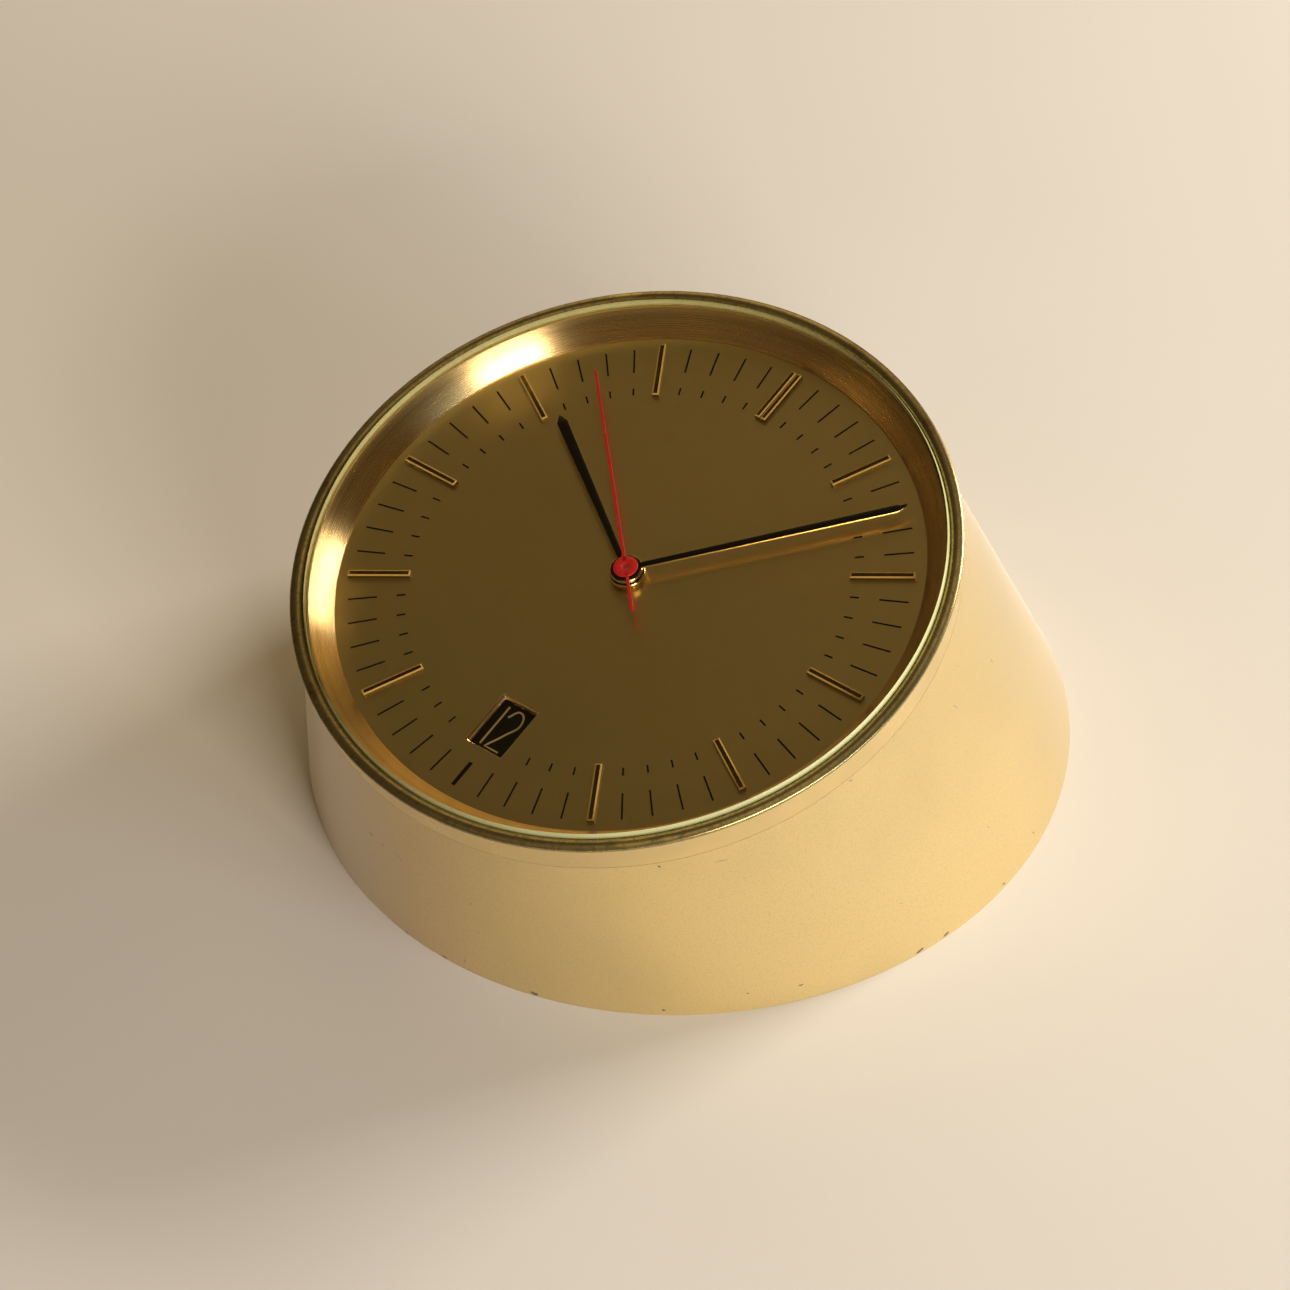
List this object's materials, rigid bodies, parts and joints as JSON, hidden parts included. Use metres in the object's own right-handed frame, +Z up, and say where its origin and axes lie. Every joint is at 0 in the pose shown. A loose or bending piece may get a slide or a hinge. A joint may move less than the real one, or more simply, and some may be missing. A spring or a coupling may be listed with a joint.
{
  "type": "table clock",
  "caption": "Round table clock in a slant-cut cone of gold lacquer, with applied markers, date window, sweep seconds, battery movement, setting knob and hinged battery lid.",
  "frame": {"origin": "on the table, in the middle of the clock's footprint box", "axes": "+Z up from the table, -Y towards the six o'clock side that faces the reader, +X towards three o'clock"},
  "size_m": [0.1212, 0.1292, 0.062],
  "materials": {
    "lacquer": "matte champagne-gold lacquer with small chips",
    "band_gold": "smooth turned satin",
    "bezel_brass": "turned, worn olive-brown patina",
    "glass": "clear, polished, bevelled rim",
    "flange_gold": "satin",
    "dial_gold": "straight brushed",
    "window_gold": "polished bevels",
    "marker_gold": "polished",
    "hand_black": "black lacquer on gilt",
    "hand_red": "satin red",
    "date_black": "satin black with printed numbers",
    "plate_brass": "satin",
    "gear_brass": "satin",
    "steel": "bright",
    "copper": "enamelled copper winding",
    "board_green": "resin board",
    "component_black": "gloss",
    "base_grey": "satin",
    "black_plastic": "moulded, matte",
    "contact_steel": "bright",
    "cell_wrap": "plain printed sleeve",
    "knob_brass": "fluted, satin"
  },
  "bodies": {
    "case": {"body_shell": "lacquer", "case_band": "band_gold", "bezel": "bezel_brass", "crystal": "glass", "dial_flange": "flange_gold", "dial": "dial_gold", "date_window_frame": "window_gold", "hour_marker_1": "marker_gold", "hour_marker_2": "marker_gold", "hour_marker_3": "marker_gold", "hour_marker_4": "marker_gold", "hour_marker_5": "marker_gold", "hour_marker_7": "marker_gold", "hour_marker_8": "marker_gold", "hour_marker_9": "marker_gold", "hour_marker_10": "marker_gold", "hour_marker_11": "marker_gold", "hour_marker_12_left": "marker_gold", "hour_marker_12_right": "marker_gold", "front_plate": "plate_brass", "rear_plate": "plate_brass", "plate_pillars": "plate_brass", "balance_bridge": "plate_brass", "calendar_carrier": "plate_brass", "coil_bracket": "plate_brass", "board_posts": "plate_brass", "motion_studs": "steel", "plate_screws": "steel", "date_jumper": "steel", "hairspring": "steel", "hinge_pins": "steel", "base_screws": "steel", "drive_coil": "copper", "circuit_board": "board_green", "board_components": "component_black", "base_plate": "base_grey", "battery_bay": "black_plastic", "contact_plate": "contact_steel", "contact_spring": "contact_steel", "battery_cell": "cell_wrap"},
    "minute_works": {"centre_wheel": "gear_brass", "cannon_pinion": "gear_brass", "minute_hand": "hand_black"},
    "seconds_works": {"seconds_arbor": "steel", "index_wheel": "gear_brass", "seconds_hand": "hand_red"},
    "hour_works": {"hour_wheel": "gear_brass", "date_drive_gear": "gear_brass", "hour_hand": "hand_black"},
    "third_works": {"third_wheel": "steel"},
    "minute_wheel_works": {"minute_wheel": "gear_brass"},
    "date_wheel_works": {"date_wheel": "gear_brass"},
    "setting_works": {"setting_arbor": "steel", "setting_knob": "knob_brass"},
    "date_works": {"date_ring": "date_black"},
    "balance_works": {"balance_wheel": "gear_brass", "balance_magnets": "steel"},
    "regulator_works": {"regulator": "steel"},
    "lid_works": {"battery_lid": "black_plastic"}
  },
  "joints": [
    {"name": "minute_turn", "type": "hinge", "parent": "case", "child": "minute_works", "pos_m": [0, -0.01304, 0.04431], "axis": [0, -0.2521, 0.9677], "continuous": true},
    {"name": "seconds_turn", "type": "hinge", "parent": "case", "child": "seconds_works", "pos_m": [0, -0.01304, 0.04431], "axis": [0, -0.2521, 0.9677], "continuous": true},
    {"name": "third_wheel_turn", "type": "hinge", "parent": "case", "child": "third_works", "pos_m": [-0.01126, -0.00675, 0.04595], "axis": [0, -0.2521, 0.9677], "continuous": true},
    {"name": "hour_turn", "type": "hinge", "parent": "case", "child": "hour_works", "pos_m": [0, -0.01304, 0.04431], "axis": [0, -0.2521, 0.9677], "continuous": true},
    {"name": "minute_wheel_turn", "type": "hinge", "parent": "case", "child": "minute_wheel_works", "pos_m": [0.0048, -0.02109, 0.04221], "axis": [0, -0.2521, 0.9677], "continuous": true},
    {"name": "date_wheel_turn", "type": "hinge", "parent": "case", "child": "date_wheel_works", "pos_m": [-0.0075, -0.00047, 0.04758], "axis": [0, -0.2521, 0.9677], "continuous": true},
    {"name": "setting_turn", "type": "hinge", "parent": "case", "child": "setting_works", "pos_m": [0.0096, -0.02913, 0.04012], "axis": [0, -0.2521, 0.9677], "continuous": true},
    {"name": "date_ring_turn", "type": "hinge", "parent": "case", "child": "date_works", "pos_m": [0, -0.01304, 0.04431], "axis": [0, -0.2521, 0.9677], "continuous": true},
    {"name": "balance_swing", "type": "hinge", "parent": "case", "child": "balance_works", "pos_m": [0.0129, -0.01304, 0.04431], "axis": [0, -0.2521, 0.9677], "range_deg": [-120, 120], "stiffness_Nm_per_rad": 0.000002},
    {"name": "regulator_turn", "type": "hinge", "parent": "case", "child": "regulator_works", "pos_m": [0.0129, -0.01304, 0.04431], "axis": [0, -0.2521, 0.9677], "range_deg": [-20, 20]},
    {"name": "lid_open", "type": "hinge", "parent": "case", "child": "lid_works", "pos_m": [0, 0.044, 0.0034], "axis": [1, 0, 0], "range_deg": [0, 95]}
  ],
  "couplings": [
    {"joint": "seconds_turn", "follows": "minute_turn", "ratio": 60},
    {"joint": "third_wheel_turn", "follows": "minute_turn", "ratio": -8},
    {"joint": "hour_turn", "follows": "minute_turn", "ratio": 0.083333},
    {"joint": "minute_wheel_turn", "follows": "minute_turn", "ratio": -0.33333},
    {"joint": "date_wheel_turn", "follows": "minute_turn", "ratio": -0.041667},
    {"joint": "setting_turn", "follows": "minute_turn", "ratio": 1}
  ]
}
